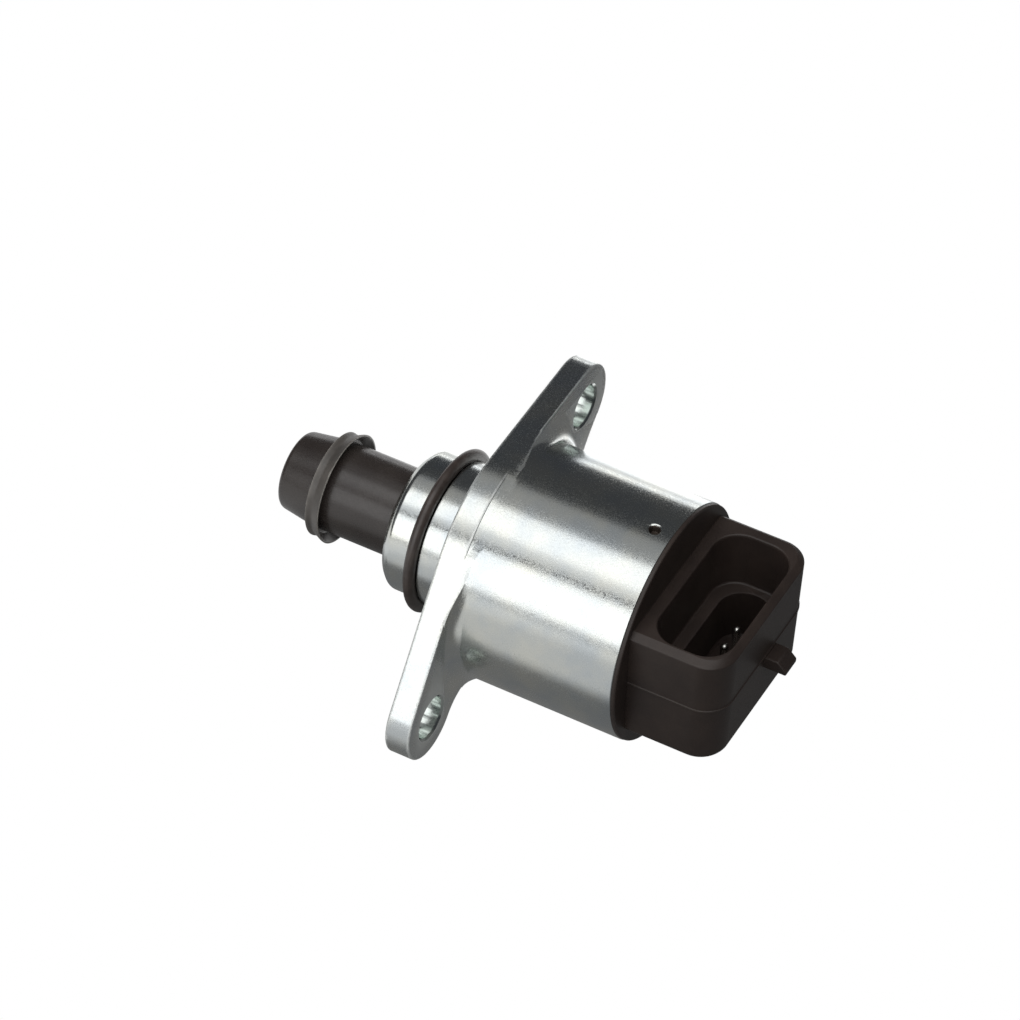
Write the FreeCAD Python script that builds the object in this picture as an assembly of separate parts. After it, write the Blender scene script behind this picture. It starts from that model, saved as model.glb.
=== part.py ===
# Idle air control valve: a stepper motor in a zinc-plated steel can that slides a
# conical plastic pintle in and out of an air passage.
# Frame: +X runs along the valve from the pintle to the connector, +Z is the way the
# connector's mouth faces, and the origin is midway between the bolt holes on the
# flange's seating face. The pieces are built about the X axis and then moved sideways,
# because the valve's own axis misses that midpoint a little.
# All sizes are in millimetres.

import FreeCAD, Part
import math
import os

from FreeCAD import Vector

# Housing: can, oval flange and spigot in one piece of steel
body_radius = 17.5
body_wall = 2.0
body_length = 28.6
flange_step = 0.2
flange_thickness = 3.8
hole_pitch = 49.2
hole_line_angle = 29.3
hole_line_offset = -0.95
ear_end_radius = 6.3
ear_neck_radius = 5.8
ear_far_neck_radius = 25.0
bolt_hole_radius = 3.2
ear_fillet = 2.0
seat_relief_radius = 12.8
seat_relief_depth = 0.3
spigot_length = 11.8
spigot_pilot_radius = 10.4
spigot_land_radius = 10.7
spigot_chamfer = 1.1
groove_width = 1.75
groove_radius = 10.08
groove_lead = 4.55
dimple_radius = 0.8
dimple_floor_radius = 0.55
dimple_depth = 1.1
dimple_setback = 2.7
dimple_angle = 3.5

# Spigot seal: a ring of oval section
seal_width = 1.6
seal_height = 2.1

# Ball bearing that carries the front of the rotor
bearing_entry_gap = 0.75
bearing_width = 5.0
bearing_seat_end = 6.2
race_share = 0.3
track_depth = 0.35
ball_gap = 1.9
cage_wall = 0.5
cage_width = 3.0
ball_clearance = 0.04

# Guide bush and keyed sleeve in the spigot
bush_outer_radius = 7.6
bush_flange_thickness = 1.0
bush_setback = 0.6
sleeve_flange_thickness = 1.0
sleeve_outer_radius = 4.5
sleeve_bore_radius = 3.35
sleeve_length = 15.4
key_width = 1.6
key_height = 0.7

# Pintle: hollow stem and cone in one moulding
stem_radius = 6.6
stem_rear_x = -6.2
stem_bore_depth = 14.8
cone_tip_x = -30.9
cone_tip_radius = 5.75
cone_base_radius = 6.55
cone_tip_round = 0.7
neck_radius = 5.9
neck_width = 0.5

# Lip ring on the pintle
lip_front_x = -25.1
lip_width = 2.3
lip_front_radius = 7.8
lip_waist_radius = 7.6
lip_waist_setback = 0.9
lip_rear_radius = 8.2
lip_recess_depth = 1.3
lip_wall = 0.6

# Lead screw
screw_radius = 3.0
screw_front_x = -27.6
screw_rear_gap = 3.2
screw_collar_radius = 3.6
screw_collar_width = 1.2
screw_collar_setback = 2.0

# Rotor: ring magnet on a threaded plastic hub
rotor_share = 0.4743
hub_share = 0.6
magnet_setback = 1.0
magnet_rear_gap = 0.8
hub_journal_radius = 4.0
hub_end_gap = 1.0
rotor_air_gap = 0.45

# Stator: two claw-pole phases, each with a bobbin and a winding
pole_thickness = 0.8
pole_count = 6
claw_root_width = 3.6
claw_tip_width = 1.8
claw_end_gap = 0.6
bobbin_wall = 0.7
winding_gap = 0.5

# Rear bush and wave washer
rear_bush_radius = 6.0
rear_bush_length = 4.0
wave_washer_thickness = 0.3
wave_washer_height = 0.7
wave_count = 3
wave_washer_radius = 5.7

# Connector cap: plug, round flange and connector block in one moulding
plug_depth = 6.0
cap_flange_inset = 0.1
cap_flange_thickness = 0.6
cap_flange_round = 0.25
plug_wall = 1.7
plug_boss_wall = 1.6
plug_rib_width = 1.4
plug_rib_count = 6
plug_rib_start = 30.0
block_reach = 14.75
block_draft = 0.6
block_half_width = 13.7
block_top_z = 9.9
block_bottom_z = -9.05
block_corner_radius = 4.2
block_edge_chamfer = 0.85
block_foot_chamfer = 1.0
mouth_rear_wall = 1.35
mouth_near_wall = 1.5
mouth_far_wall = 2.6
mouth_front_gap = 1.85
mouth_corner_radius = 4.0
mouth_depth = 9.2
ledge_width = 1.3
ledge_front_width = 1.95
mouth_lead_in = 0.4
pocket_floor = 1.4
parting_z = 0.65
parting_rise = 0.12
parting_width = 0.3
nub_reach = 2.95
nub_width = 3.4
nub_height = 2.05
nub_top_z = 0.2
nub_centre_y = 2.0
nub_slope = 1.3

# Seal between cap and can
cap_seal_section = 1.6
cap_seal_setback = 3.6
cap_groove_width = 1.92

# Terminals: four round pins in a row
pin_count = 4
pin_pitch = 3.75
pin_radius = 0.6
pin_rise = 5.5
pin_offset = -0.65
pin_leg_setback = 1.3

# Clearances
running_clearance = 0.05
seat_clearance = 0.02
screw_clearance = 0.4
washer_clearance = 0.2

# How far cutting tools run past what they cut, and how near counts as touching
overrun = 1.0
touch = 1e-4

# Places that follow from the sizes above
can_bore_radius = body_radius - body_wall
groove_setback = spigot_length - groove_lead - groove_width
flange_radius = body_radius + flange_step
cap_flange_radius = body_radius - cap_flange_inset
bearing_front_x = bearing_seat_end - bearing_width
sleeve_front_x = bearing_front_x - sleeve_flange_thickness
bush_seat_x = sleeve_front_x - bush_flange_thickness
stack_front_x = bearing_seat_end
stack_rear_x = body_length - plug_depth
phase_length = (stack_rear_x - stack_front_x) / 2
lip_rear_x = lip_front_x + lip_width
screw_rear_x = stack_rear_x - screw_rear_gap
magnet_radius = body_radius * rotor_share
magnet_length = 2 * phase_length - magnet_setback - magnet_rear_gap
hub_radius = magnet_radius * hub_share
claw_inner_radius = magnet_radius + rotor_air_gap
bearing_outer_radius = claw_inner_radius - bearing_entry_gap
race_wall = (bearing_outer_radius - hub_journal_radius) * race_share
race_inner_top = hub_journal_radius + race_wall
race_outer_bottom = bearing_outer_radius - race_wall
ball_pitch_radius = (race_inner_top + race_outer_bottom) / 2
ball_radius = (race_outer_bottom - race_inner_top) / 2 + track_depth
ball_count = round(2 * math.pi * ball_pitch_radius / (2 * ball_radius + ball_gap))
claw_outer_radius = claw_inner_radius + pole_thickness
stator_outer_radius = can_bore_radius - seat_clearance
flange_rear_x = body_length + cap_flange_thickness
mouth_front_x = flange_rear_x + mouth_front_gap
block_end_x = body_length + block_reach
block_foot_x = block_end_x - block_draft
nub_end_x = block_end_x + nub_reach
mouth_rear_x = block_end_x - mouth_rear_wall
ledge_z = block_top_z - mouth_depth
pocket_floor_z = block_bottom_z + pocket_floor
pocket_front_x = mouth_front_x + ledge_front_width
pocket_rear_x = mouth_rear_x - ledge_width
pin_x = (pocket_front_x + pocket_rear_x) / 2 + pin_offset
pin_tip_z = pocket_floor_z + pin_rise
frame_shift = Vector(0, -hole_line_offset, 0)
X_AXIS = Vector(1, 0, 0)
ORIGIN = Vector(0, 0, 0)


def rod(x_front, x_rear, radius):
    """A cylinder along the valve's axis between two stations."""
    return Part.makeCylinder(radius, x_rear - x_front, Vector(x_front, 0, 0), X_AXIS)


def tube(x_front, x_rear, outer, inner):
    """A hollow cylinder along the valve's axis."""
    return rod(x_front, x_rear, outer).cut(rod(x_front - overrun, x_rear + overrun, inner))


def turned(profile):
    """A solid of revolution about the valve's axis from (x, radius) corners."""
    points = [Vector(x, r, 0) for x, r in profile]
    face = Part.Face(Part.makePolygon(points + points[:1]))
    return face.revolve(ORIGIN, X_AXIS, 360)


def oval_ring(x, centre_radius, half_width, half_height):
    """A ring of oval section, taller than wide, about the valve's axis."""
    centre = Vector(x, centre_radius, 0)
    section = Part.Ellipse(centre + Vector(0, half_height, 0), centre + X_AXIS * half_width, centre)
    return Part.Face(Part.Wire(section.toShape())).revolve(ORIGIN, X_AXIS, 360)


def ring_of_section(x, centre_radius, section_radius):
    """A ring of round section, such as a rubber seal, about the valve's axis."""
    return Part.makeTorus(centre_radius, section_radius, Vector(x, 0, 0), X_AXIS)


def around(shape, count, start=0.0):
    """Copies of a shape at equal angles about the valve's axis."""
    copies = []
    for index in range(count):
        copy = shape.copy()
        copy.rotate(ORIGIN, X_AXIS, start + index * 360.0 / count)
        copies.append(copy)
    return copies


def rounded_slab(x1, x2, y_half, z1, z2, front_radius, rear_radius):
    """An upright slab, straight in Z, with its own corner radius at each end in X."""
    corners = [
        (Vector(x1, -y_half, z1), front_radius),
        (Vector(x2, -y_half, z1), rear_radius),
        (Vector(x2, y_half, z1), rear_radius),
        (Vector(x1, y_half, z1), front_radius),
    ]
    edges = []
    ends = []
    for index, (corner, radius) in enumerate(corners):
        before = (corners[index - 1][0] - corner).normalize()
        after = (corners[(index + 1) % 4][0] - corner).normalize()
        start = corner + before * radius
        end = corner + after * radius
        if radius > 0:
            middle = corner + (before + after) * radius * (1 - math.sqrt(0.5))
            edges.append(Part.Arc(start, middle, end).toShape())
        ends.append((start, end))
    for index in range(4):
        leave = ends[index][1]
        arrive = ends[(index + 1) % 4][0]
        if leave.distanceToPoint(arrive) > 1e-6:
            edges.append(Part.makeLine(leave, arrive))
    wire = Part.Wire(Part.__sortEdges__(edges))
    return Part.Face(wire).extrude(Vector(0, 0, z2 - z1))


def hole_centre(side):
    """Centre of the upper (+1) or lower (-1) bolt hole; the hole line misses the axis a little."""
    angle = math.radians(hole_line_angle)
    along = Vector(0, math.cos(angle), math.sin(angle))
    return Vector(0, hole_line_offset, 0) + along * (side * hole_pitch / 2)


def ear_outline(side):
    """One ear's web: a line that touches can and end circle, and a hollow neck opposite."""
    centre = hole_centre(side)
    reach = centre.Length
    out = centre / reach
    across = X_AXIS.cross(out) * side
    lean = (flange_radius - ear_end_radius) / reach
    straight = out * lean + across * math.sqrt(1 - lean * lean)
    neck_radius = ear_far_neck_radius if side > 0 else ear_neck_radius
    can_sum = flange_radius + neck_radius
    end_sum = ear_end_radius + neck_radius
    along = (reach * reach + can_sum * can_sum - end_sum * end_sum) / (2 * reach)
    neck = out * along - across * math.sqrt(can_sum * can_sum - along * along)
    end_point = centre + (neck - centre).normalize() * ear_end_radius
    can_point = neck * (flange_radius / can_sum)
    to_middle = ((end_point - neck) + (can_point - neck)).normalize()
    corners = [ORIGIN, straight * flange_radius, centre + straight * ear_end_radius, centre, end_point]
    edges = [Part.makeLine(corners[i], corners[i + 1]) for i in range(len(corners) - 1)]
    edges.append(Part.Arc(end_point, neck + to_middle * neck_radius, can_point).toShape())
    edges.append(Part.makeLine(can_point, ORIGIN))
    return Part.Wire(edges)


def ear_prism(side, x_front, x_rear):
    """One ear of the flange, web and rounded end, between two stations."""
    length = x_rear - x_front
    web = Part.Face(ear_outline(side)).extrude(X_AXIS * length)
    web.translate(X_AXIS * x_front)
    end = Part.makeCylinder(ear_end_radius, length, hole_centre(side) + X_AXIS * x_front, X_AXIS)
    return web.fuse(end)


def ear_root_fillet(side):
    """The rounded corner between the can and the rear face of one ear."""
    x = flange_thickness
    far = body_radius + ear_fillet
    inset = ear_fillet * (1 - math.sqrt(0.5))
    start = Vector(x, far, 0)
    middle = Vector(x + inset, body_radius + inset, 0)
    end = Vector(x + ear_fillet, body_radius, 0)
    inner = body_radius - ear_fillet
    wire = Part.Wire(
        [
            Part.Arc(start, middle, end).toShape(),
            Part.makeLine(end, Vector(x + ear_fillet, inner, 0)),
            Part.makeLine(Vector(x + ear_fillet, inner, 0), Vector(x, inner, 0)),
            Part.makeLine(Vector(x, inner, 0), start),
        ]
    )
    ring = Part.Face(wire).revolve(ORIGIN, X_AXIS, 360)
    return ring.common(ear_prism(side, x, x + ear_fillet))


def arc_edges_at(shape, x, least_length):
    """The edges of a shape that lie whole in the plane at x and are at least that long."""
    found = []
    for edge in shape.Edges:
        box = edge.BoundBox
        if abs(box.XMin - x) < touch and abs(box.XMax - x) < touch and edge.Length > least_length:
            found.append(edge)
    return found


def dimple(direction):
    """The punch mark that stakes the can on the cap: a small hole that narrows inwards."""
    place = Vector(body_length - dimple_setback, 0, 0) + direction * (body_radius + overrun)
    mark = Part.makeCone(
        dimple_radius, dimple_floor_radius, dimple_depth + overrun, place, direction * -1
    )
    return mark


def make_housing():
    """Can, flange and spigot, with the bearing seat and the bore for the guide bush."""
    body = rod(0, body_length, body_radius).fuse(rod(0, flange_thickness, flange_radius))
    for side in (1, -1):
        body = body.fuse(ear_prism(side, 0, flange_thickness))
    body = body.removeSplitter()
    for side in (1, -1):
        body = body.fuse(ear_root_fillet(side))
    body = body.cut(rod(-overrun, seat_relief_depth, seat_relief_radius))
    spigot = turned(
        [
            (overrun, 0),
            (overrun, spigot_land_radius),
            (-groove_setback, spigot_land_radius),
            (-groove_setback, groove_radius),
            (-groove_setback - groove_width, groove_radius),
            (-groove_setback - groove_width, spigot_pilot_radius),
            (-spigot_length + spigot_chamfer, spigot_pilot_radius),
            (-spigot_length, spigot_pilot_radius - spigot_chamfer),
            (-spigot_length, 0),
        ]
    )
    body = body.fuse(spigot)
    body = body.cut(rod(stack_front_x, body_length + overrun, can_bore_radius))
    body = body.cut(rod(bush_seat_x, stack_front_x + overrun, bearing_outer_radius + seat_clearance))
    body = body.cut(rod(-spigot_length - overrun, stack_front_x, bush_outer_radius + seat_clearance))
    for side in (1, -1):
        start = hole_centre(side) - X_AXIS * overrun
        drill = Part.makeCylinder(bolt_hole_radius, flange_thickness + 2 * overrun, start, X_AXIS)
        body = body.cut(drill)
    tilt = math.radians(dimple_angle)
    for side in (1, -1):
        body = body.cut(dimple(Vector(0, -math.sin(tilt), math.cos(tilt)) * side))
    return body


def make_spigot_seal():
    """The rubber ring in the spigot's groove."""
    x = -groove_setback - groove_width / 2
    centre_radius = groove_radius + seal_height / 2 + seat_clearance
    return oval_ring(x, centre_radius, seal_width / 2, seal_height / 2)


def key_bars(x_front, x_rear, width, height_from, height_to):
    """The two keys on opposite sides of the sleeve, or the slots that take them."""
    bars = []
    for side in (1, -1):
        low = min(height_from * side, height_to * side)
        bar = Part.makeBox(
            x_rear - x_front, width, height_to - height_from, Vector(x_front, -width / 2, low)
        )
        bars.append(bar)
    return bars


def make_guide_bush():
    """Flanged plain bush that the pintle's stem slides in."""
    front = -spigot_length + bush_setback
    bush = rod(front, sleeve_front_x, bush_outer_radius)
    bush = bush.fuse(rod(bush_seat_x, sleeve_front_x, bearing_outer_radius))
    bore = rod(front - overrun, sleeve_front_x + overrun, stem_radius + running_clearance)
    return bush.cut(bore)


def make_key_sleeve():
    """Keyed tube inside the hollow stem: it stops the pintle from turning."""
    front = sleeve_front_x - sleeve_length
    sleeve = rod(front, bearing_front_x, sleeve_outer_radius)
    for bar in key_bars(front, sleeve_front_x, key_width, 0, sleeve_outer_radius + key_height):
        sleeve = sleeve.fuse(bar)
    sleeve = sleeve.fuse(rod(sleeve_front_x, bearing_front_x, bearing_outer_radius))
    return sleeve.cut(rod(front - overrun, bearing_front_x + overrun, sleeve_bore_radius))


def make_lead_screw():
    """The steel screw, with a collar that anchors it in the pintle. Its thread is plain here."""
    screw = rod(screw_front_x, screw_rear_x, screw_radius)
    collar_front = screw_front_x + screw_collar_setback
    return screw.fuse(rod(collar_front, collar_front + screw_collar_width, screw_collar_radius))


def make_pintle(screw):
    """Cone, neck and hollow stem in one moulding round the screw's front end."""
    neck_front = lip_front_x - neck_width
    stem_front = lip_rear_x - lip_recess_depth
    body = turned(
        [
            (cone_tip_x, 0),
            (cone_tip_x, cone_tip_radius),
            (neck_front, cone_base_radius),
            (neck_front, neck_radius),
            (stem_front, neck_radius),
            (stem_front, stem_radius),
            (stem_rear_x, stem_radius),
            (stem_rear_x, 0),
        ]
    )
    tip_edges = [
        edge
        for edge in arc_edges_at(body, cone_tip_x, cone_tip_radius)
        if abs(edge.Curve.Radius - cone_tip_radius) < touch
    ]
    body = body.makeFillet(cone_tip_round, tip_edges)
    bore_front = stem_rear_x - stem_bore_depth
    body = body.cut(rod(bore_front, stem_rear_x + overrun, sleeve_outer_radius + running_clearance))
    slots = key_bars(
        bore_front,
        stem_rear_x + overrun,
        key_width + 2 * running_clearance,
        0,
        sleeve_outer_radius + key_height + running_clearance,
    )
    for slot in slots:
        body = body.cut(slot)
    return body.cut(screw)


def make_lip_ring():
    """Waisted ring with a flared rear lip, hollow behind, snapped on the pintle's neck."""
    waist_x = lip_front_x + lip_waist_setback
    recess_x = lip_rear_x - lip_recess_depth
    return turned(
        [
            (lip_front_x, neck_radius + seat_clearance),
            (lip_front_x, lip_front_radius),
            (waist_x, lip_waist_radius),
            (lip_rear_x, lip_rear_radius),
            (lip_rear_x, lip_rear_radius - lip_wall / 2),
            (recess_x, lip_waist_radius - lip_wall),
            (recess_x, neck_radius + seat_clearance),
        ]
    )


def race_groove():
    """The ball track: a ring of round section a little larger than the balls."""
    x = bearing_front_x + bearing_width / 2
    return ring_of_section(x, ball_pitch_radius, ball_radius + ball_clearance)


def make_outer_race():
    """Outer race of the ball bearing, pressed in the housing."""
    race = tube(bearing_front_x, bearing_seat_end, bearing_outer_radius, race_outer_bottom)
    return race.cut(race_groove())


def make_inner_race():
    """Inner race of the ball bearing, pressed on the hub."""
    race = tube(bearing_front_x, bearing_seat_end, race_inner_top, hub_journal_radius)
    return race.cut(race_groove())


def make_balls():
    """The bearing balls, as a group of separate solids."""
    x = bearing_front_x + bearing_width / 2
    ball = Part.makeSphere(ball_radius, Vector(x, 0, ball_pitch_radius))
    return Part.makeCompound(around(ball, ball_count))


def make_cage():
    """Pressed cage that spaces the balls."""
    x = bearing_front_x + bearing_width / 2
    outer = ball_pitch_radius + cage_wall / 2
    cage = tube(x - cage_width / 2, x + cage_width / 2, outer, outer - cage_wall)
    pocket = Part.makeSphere(ball_radius + ball_clearance, Vector(x, 0, ball_pitch_radius))
    for cut in around(pocket, ball_count):
        cage = cage.cut(cut)
    return cage


def make_rotor_hub():
    """Threaded plastic hub with a journal at each end. The nut's thread is plain here."""
    barrel_front = bearing_seat_end
    barrel_rear = stack_rear_x
    front = bearing_front_x + running_clearance
    rear = body_length - hub_end_gap
    hub = rod(front, rear, hub_journal_radius)
    hub = hub.fuse(rod(barrel_front, barrel_rear, hub_radius))
    return hub.cut(rod(front - overrun, rear + overrun, screw_radius + running_clearance))


def make_rotor_magnet():
    """Multi-pole ferrite ring on the hub."""
    front = stack_front_x + magnet_setback
    return tube(front, front + magnet_length, magnet_radius, hub_radius)


def claw(x_root, x_tip):
    """One pole claw: a tapered finger bent along the axis at the stator's bore."""
    sector = Part.Face(
        Part.makePolygon(
            [
                Vector(x_root, -claw_root_width / 2, 0),
                Vector(x_root, claw_root_width / 2, 0),
                Vector(x_tip, claw_tip_width / 2, 0),
                Vector(x_tip, -claw_tip_width / 2, 0),
                Vector(x_root, -claw_root_width / 2, 0),
            ]
        )
    ).extrude(Vector(0, 0, claw_outer_radius + overrun))
    low = min(x_root, x_tip)
    high = max(x_root, x_tip)
    return tube(low, high, claw_outer_radius, claw_inner_radius).common(sector)


def make_pole_plate(x_front):
    """Flat pole plate at the front of a phase, with claws that point to the rear."""
    x_flat = x_front + pole_thickness
    plate = tube(x_front, x_flat, stator_outer_radius, claw_inner_radius)
    tip = x_front + phase_length - pole_thickness - claw_end_gap
    for finger in around(claw(x_flat, tip), pole_count):
        plate = plate.fuse(finger)
    return plate.removeSplitter()


def make_pole_cup(x_front):
    """Cup-shaped pole piece at the rear of a phase, with claws that point to the front."""
    x_rear = x_front + phase_length
    x_flat = x_rear - pole_thickness
    cup = tube(x_flat, x_rear, stator_outer_radius, claw_inner_radius)
    wall_front = x_front + pole_thickness
    cup = cup.fuse(tube(wall_front, x_rear, stator_outer_radius, stator_outer_radius - pole_thickness))
    tip = wall_front + claw_end_gap
    for finger in around(claw(x_flat, tip), pole_count, 180.0 / pole_count):
        cup = cup.fuse(finger)
    return cup.removeSplitter()


def bobbin_radii():
    """Inner radius, winding floor and rim radius of the bobbins."""
    inner = claw_outer_radius + running_clearance
    rim = stator_outer_radius - pole_thickness - running_clearance
    return inner, inner + bobbin_wall, rim


def make_bobbin(x_front):
    """Spool between a phase's two pole pieces."""
    inner, floor, rim = bobbin_radii()
    front = x_front + pole_thickness
    rear = x_front + phase_length - pole_thickness
    return turned(
        [
            (front, inner),
            (front, rim),
            (front + bobbin_wall, rim),
            (front + bobbin_wall, floor),
            (rear - bobbin_wall, floor),
            (rear - bobbin_wall, rim),
            (rear, rim),
            (rear, inner),
        ]
    )


def make_winding(x_front):
    """The copper wire of one phase, as the solid ring that it fills."""
    _, floor, rim = bobbin_radii()
    front = x_front + pole_thickness + bobbin_wall
    rear = x_front + phase_length - pole_thickness - bobbin_wall
    return tube(front, rear, rim - winding_gap, floor)


def rear_bush_front():
    """Station of the rear bush's front face."""
    return stack_rear_x + wave_washer_height + running_clearance


def make_rear_bush():
    """Sintered bush that carries the rear journal."""
    front = rear_bush_front()
    return tube(front, front + rear_bush_length, rear_bush_radius, hub_journal_radius + running_clearance)


def make_wave_washer():
    """Wave spring washer that takes the end play out of the rotor."""
    inner = hub_journal_radius + washer_clearance
    middle = stack_rear_x + (wave_washer_height + running_clearance) / 2
    swing = (wave_washer_height - wave_washer_thickness) / 2
    steps = 12 * wave_count
    sections = []
    for index in range(steps):
        angle = 2 * math.pi * index / steps
        x = middle + swing * math.cos(wave_count * angle)
        out = Vector(0, math.cos(angle), math.sin(angle))
        half = X_AXIS * (wave_washer_thickness / 2)
        here = X_AXIS * x
        corners = [
            here + out * inner - half,
            here + out * wave_washer_radius - half,
            here + out * wave_washer_radius + half,
            here + out * inner + half,
        ]
        sections.append(corners)
    faces = []
    for corner in range(4):
        curves = []
        for side in (corner, (corner + 1) % 4):
            spline = Part.BSplineCurve()
            spline.interpolate([section[side] for section in sections], PeriodicFlag=True)
            curves.append(spline.toShape())
        faces.append(Part.makeRuledSurface(curves[0], curves[1]))
    return Part.Solid(Part.Shell(faces))


def make_cap_seal():
    """Rubber ring between the cap's plug and the can."""
    section_radius = cap_seal_section / 2
    x = body_length - cap_seal_setback
    return ring_of_section(x, can_bore_radius - section_radius - seat_clearance, section_radius)


def pin_places():
    """Y of each terminal pin, from the near side to the far side."""
    return [(index - (pin_count - 1) / 2) * pin_pitch for index in range(pin_count)]


def make_terminal(y):
    """One terminal: an upright round pin with a domed tip and a leg to the windings."""
    leg_z = block_bottom_z + pocket_floor / 2
    front = stack_rear_x + pin_leg_setback
    upright = Part.makeCylinder(pin_radius, pin_tip_z - pin_radius - leg_z, Vector(pin_x, y, leg_z))
    tip = Part.makeSphere(pin_radius, Vector(pin_x, y, pin_tip_z - pin_radius))
    elbow = Part.makeSphere(pin_radius, Vector(pin_x, y, leg_z))
    leg = Part.makeCylinder(pin_radius, pin_x - front, Vector(front, y, leg_z), X_AXIS)
    return upright.fuse([tip, elbow, leg]).removeSplitter()


def block_outline(x_end, z, grow=0.0):
    """Outline of the connector at one height: square at the can, rounded at the far end."""
    half = block_half_width + grow
    corner = block_corner_radius + grow
    slab = rounded_slab(body_length, x_end + grow, half, z, z + overrun, 0, corner)
    for face in slab.Faces:
        if abs(face.BoundBox.ZMax - z) < touch:
            return face.OuterWire
    return None


def rim_at(block, z):
    """The edges of the connector's outline at one height that stand clear of the can."""
    rim = []
    for edge in block.Edges:
        box = edge.BoundBox
        if abs(box.ZMin - z) < touch and abs(box.ZMax - z) < touch and box.XMax > body_length + touch:
            rim.append(edge)
    return rim


def connector_block():
    """Outside of the connector, drafted at the rear, with its parting line."""
    ends = [(block_foot_x, block_bottom_z), (block_end_x, block_top_z)]
    block = Part.makeLoft([block_outline(x, z) for x, z in ends], True, True)
    block = block.makeChamfer(block_edge_chamfer, rim_at(block, block_top_z))
    block = block.makeChamfer(block_foot_chamfer, rim_at(block, block_bottom_z))
    seam_share = (parting_z - block_bottom_z) / (block_top_z - block_bottom_z)
    seam_x = block_foot_x + (block_end_x - block_foot_x) * seam_share
    seam = Part.Face(block_outline(seam_x, parting_z - parting_width / 2, parting_rise))
    return block.fuse(seam.extrude(Vector(0, 0, parting_width)))


def latch_nub():
    """The sloped nub on the rear face that the plug's clip snaps over."""
    low = nub_top_z - nub_height
    start = block_foot_x - mouth_rear_wall / 2
    side = nub_centre_y - nub_width / 2
    outline = [
        Vector(start, side, low),
        Vector(nub_end_x, side, low),
        Vector(nub_end_x, side, nub_top_z - nub_slope),
        Vector(nub_end_x - nub_slope, side, nub_top_z),
        Vector(start, side, nub_top_z),
    ]
    return Part.Face(Part.makePolygon(outline + outline[:1])).extrude(Vector(0, nub_width, 0))


def connector_hollow():
    """The mouth that takes the plug, and the deeper pocket with the pins."""
    half_length = block_half_width - (mouth_near_wall + mouth_far_wall) / 2
    shift = Vector(0, (mouth_near_wall - mouth_far_wall) / 2, 0)
    mouth = rounded_slab(
        mouth_front_x,
        mouth_rear_x,
        half_length,
        ledge_z,
        block_top_z + overrun,
        mouth_corner_radius,
        mouth_corner_radius,
    )
    pocket_radius = (pocket_rear_x - pocket_front_x) / 2 - touch
    pocket = rounded_slab(
        pocket_front_x,
        pocket_rear_x,
        half_length - ledge_width,
        pocket_floor_z,
        ledge_z + overrun,
        pocket_radius,
        pocket_radius,
    )
    flare = rounded_slab(
        mouth_front_x - mouth_lead_in,
        mouth_rear_x + mouth_lead_in,
        half_length + mouth_lead_in,
        block_top_z - mouth_lead_in,
        block_top_z + overrun,
        mouth_corner_radius + mouth_lead_in,
        mouth_corner_radius + mouth_lead_in,
    )
    lead_edges = [
        edge
        for edge in flare.Edges
        if abs(edge.BoundBox.ZMax - (block_top_z - mouth_lead_in)) < touch
    ]
    flare = flare.makeChamfer(mouth_lead_in - touch, lead_edges)
    return mouth.fuse([pocket, flare]).translated(shift)


def make_connector_cap(terminals):
    """Plug, flange and connector block in one moulding round the terminals."""
    plug = rod(stack_rear_x, body_length, can_bore_radius - seat_clearance)
    boss_radius = rear_bush_radius + plug_boss_wall
    hollow_outer = can_bore_radius - plug_wall - cap_seal_section
    front = stack_rear_x - overrun
    hollow = tube(front, body_length - plug_wall, hollow_outer, boss_radius)
    rib = Part.makeBox(
        body_length, plug_rib_width, hollow_outer, Vector(front, -plug_rib_width / 2, 0)
    )
    for bar in around(rib, plug_rib_count, plug_rib_start):
        hollow = hollow.cut(bar)
    cap = plug.cut(hollow)
    groove_x = body_length - cap_seal_setback
    groove = tube(
        groove_x - cap_groove_width / 2,
        groove_x + cap_groove_width / 2,
        can_bore_radius,
        can_bore_radius - cap_seal_section - 2 * seat_clearance,
    )
    cap = cap.cut(groove)
    disc = rod(body_length, flange_rear_x, cap_flange_radius)
    rear_rim = arc_edges_at(disc, flange_rear_x, cap_flange_radius)
    disc = disc.makeFillet(cap_flange_round, rear_rim)
    cap = cap.fuse([disc, connector_block(), latch_nub()])
    cap = cap.cut(connector_hollow())
    bush_rear = rear_bush_front() + rear_bush_length
    cap = cap.cut(rod(front, bush_rear, rear_bush_radius))
    journal_end = body_length - hub_end_gap / 2
    cap = cap.cut(rod(front, journal_end, hub_journal_radius + screw_clearance))
    for terminal in terminals:
        cap = cap.cut(terminal)
    return cap.removeSplitter()


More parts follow.
